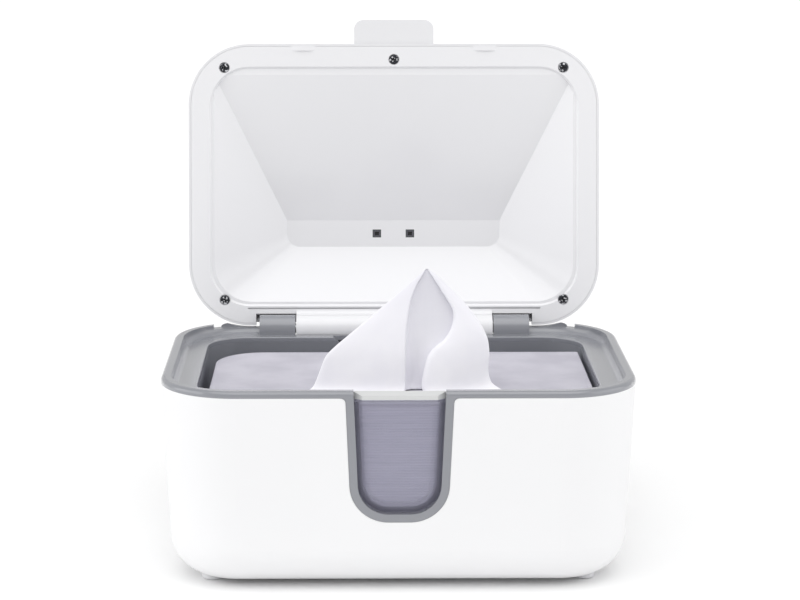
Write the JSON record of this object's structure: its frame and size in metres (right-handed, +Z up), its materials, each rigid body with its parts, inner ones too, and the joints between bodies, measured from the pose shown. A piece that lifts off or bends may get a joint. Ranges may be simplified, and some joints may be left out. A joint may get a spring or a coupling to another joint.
{
  "type": "baby wipe warmer",
  "caption": "Tabletop wipe warmer: a heated tapered tub with a clear front window and a stack of wipes, under a hinged hollow lid that stands open.",
  "frame": {"origin": "middle of the rectangle of the four feet, on the surface that they stand on", "axes": "+Z up; +X to the right as seen from the front; +Y to the rear, where the lid's hinge is, so the window faces -Y"},
  "size_m": [0.2298, 0.2024, 0.2584],
  "materials": {
    "white_plastic": "satin",
    "liner_white": "glossy",
    "grey_plastic": "satin",
    "tank_grey": "satin",
    "clear_plastic": "clear, polished",
    "dark_steel": "satin, darkened",
    "bright_steel": "ground",
    "aluminium": "satin",
    "heater_film": "smooth",
    "felt": "felted",
    "fuse_white": "ceramic white",
    "sensor_black": "satin",
    "circuit_board": "lacquered",
    "black_plastic": "satin",
    "lead_black": "satin",
    "lead_white": "satin",
    "bush_plastic": "satin",
    "wipes": "soft, damp nonwoven",
    "foot_rubber": "matte",
    "lamp": "glossy",
    "lens_white": "translucent",
    "button_grey": "satin"
  },
  "bodies": {
    "base": {"outer_housing": "white_plastic", "top_frame": "grey_plastic", "inner_tank": "tank_grey", "window_pane": "clear_plastic", "base_cover": "white_plastic", "base_screws": "dark_steel", "body_screws": "dark_steel", "frame_screws": "dark_steel", "heating_plate": "aluminium", "film_heater": "heater_film", "insulation_pad": "felt", "thermal_fuse": "fuse_white", "temperature_sensor": "sensor_black", "control_board": "circuit_board", "board_screws": "dark_steel", "power_jack": "black_plastic", "jack_leads": "lead_black", "heater_leads": "lead_white", "sensor_leads": "lead_white", "lid_lead_base": "lead_white", "hinge_pin": "bright_steel", "hinge_bush": "bush_plastic", "wipe_stack": "wipes", "pulled_wipe": "wipes", "foot_front_left": "foot_rubber", "foot_front_right": "foot_rubber", "foot_rear_left": "foot_rubber", "foot_rear_right": "foot_rubber"},
    "lid": {"lid_shell": "white_plastic", "lid_liner": "liner_white", "lid_screws": "dark_steel", "lid_board": "circuit_board", "lid_board_screws": "dark_steel", "lamp_left": "lamp", "lamp_right": "lamp", "push_switch": "black_plastic", "status_lens": "lens_white", "lid_lead": "lead_white"},
    "power_button": {"power_button": "button_grey"}
  },
  "joints": [
    {"name": "lid_hinge", "type": "hinge", "parent": "base", "child": "lid", "pos_m": [0, 0.0765, 0.097], "axis": [1, 0, 0], "range_deg": [0, 100], "deforming": ["pulled_wipe"]},
    {"name": "power_button_press", "type": "slide", "parent": "lid", "child": "power_button", "axis": [0, -0.9848, 0.1736], "range_m": [0, 0.0008], "stiffness_N_per_m": 600}
  ]
}
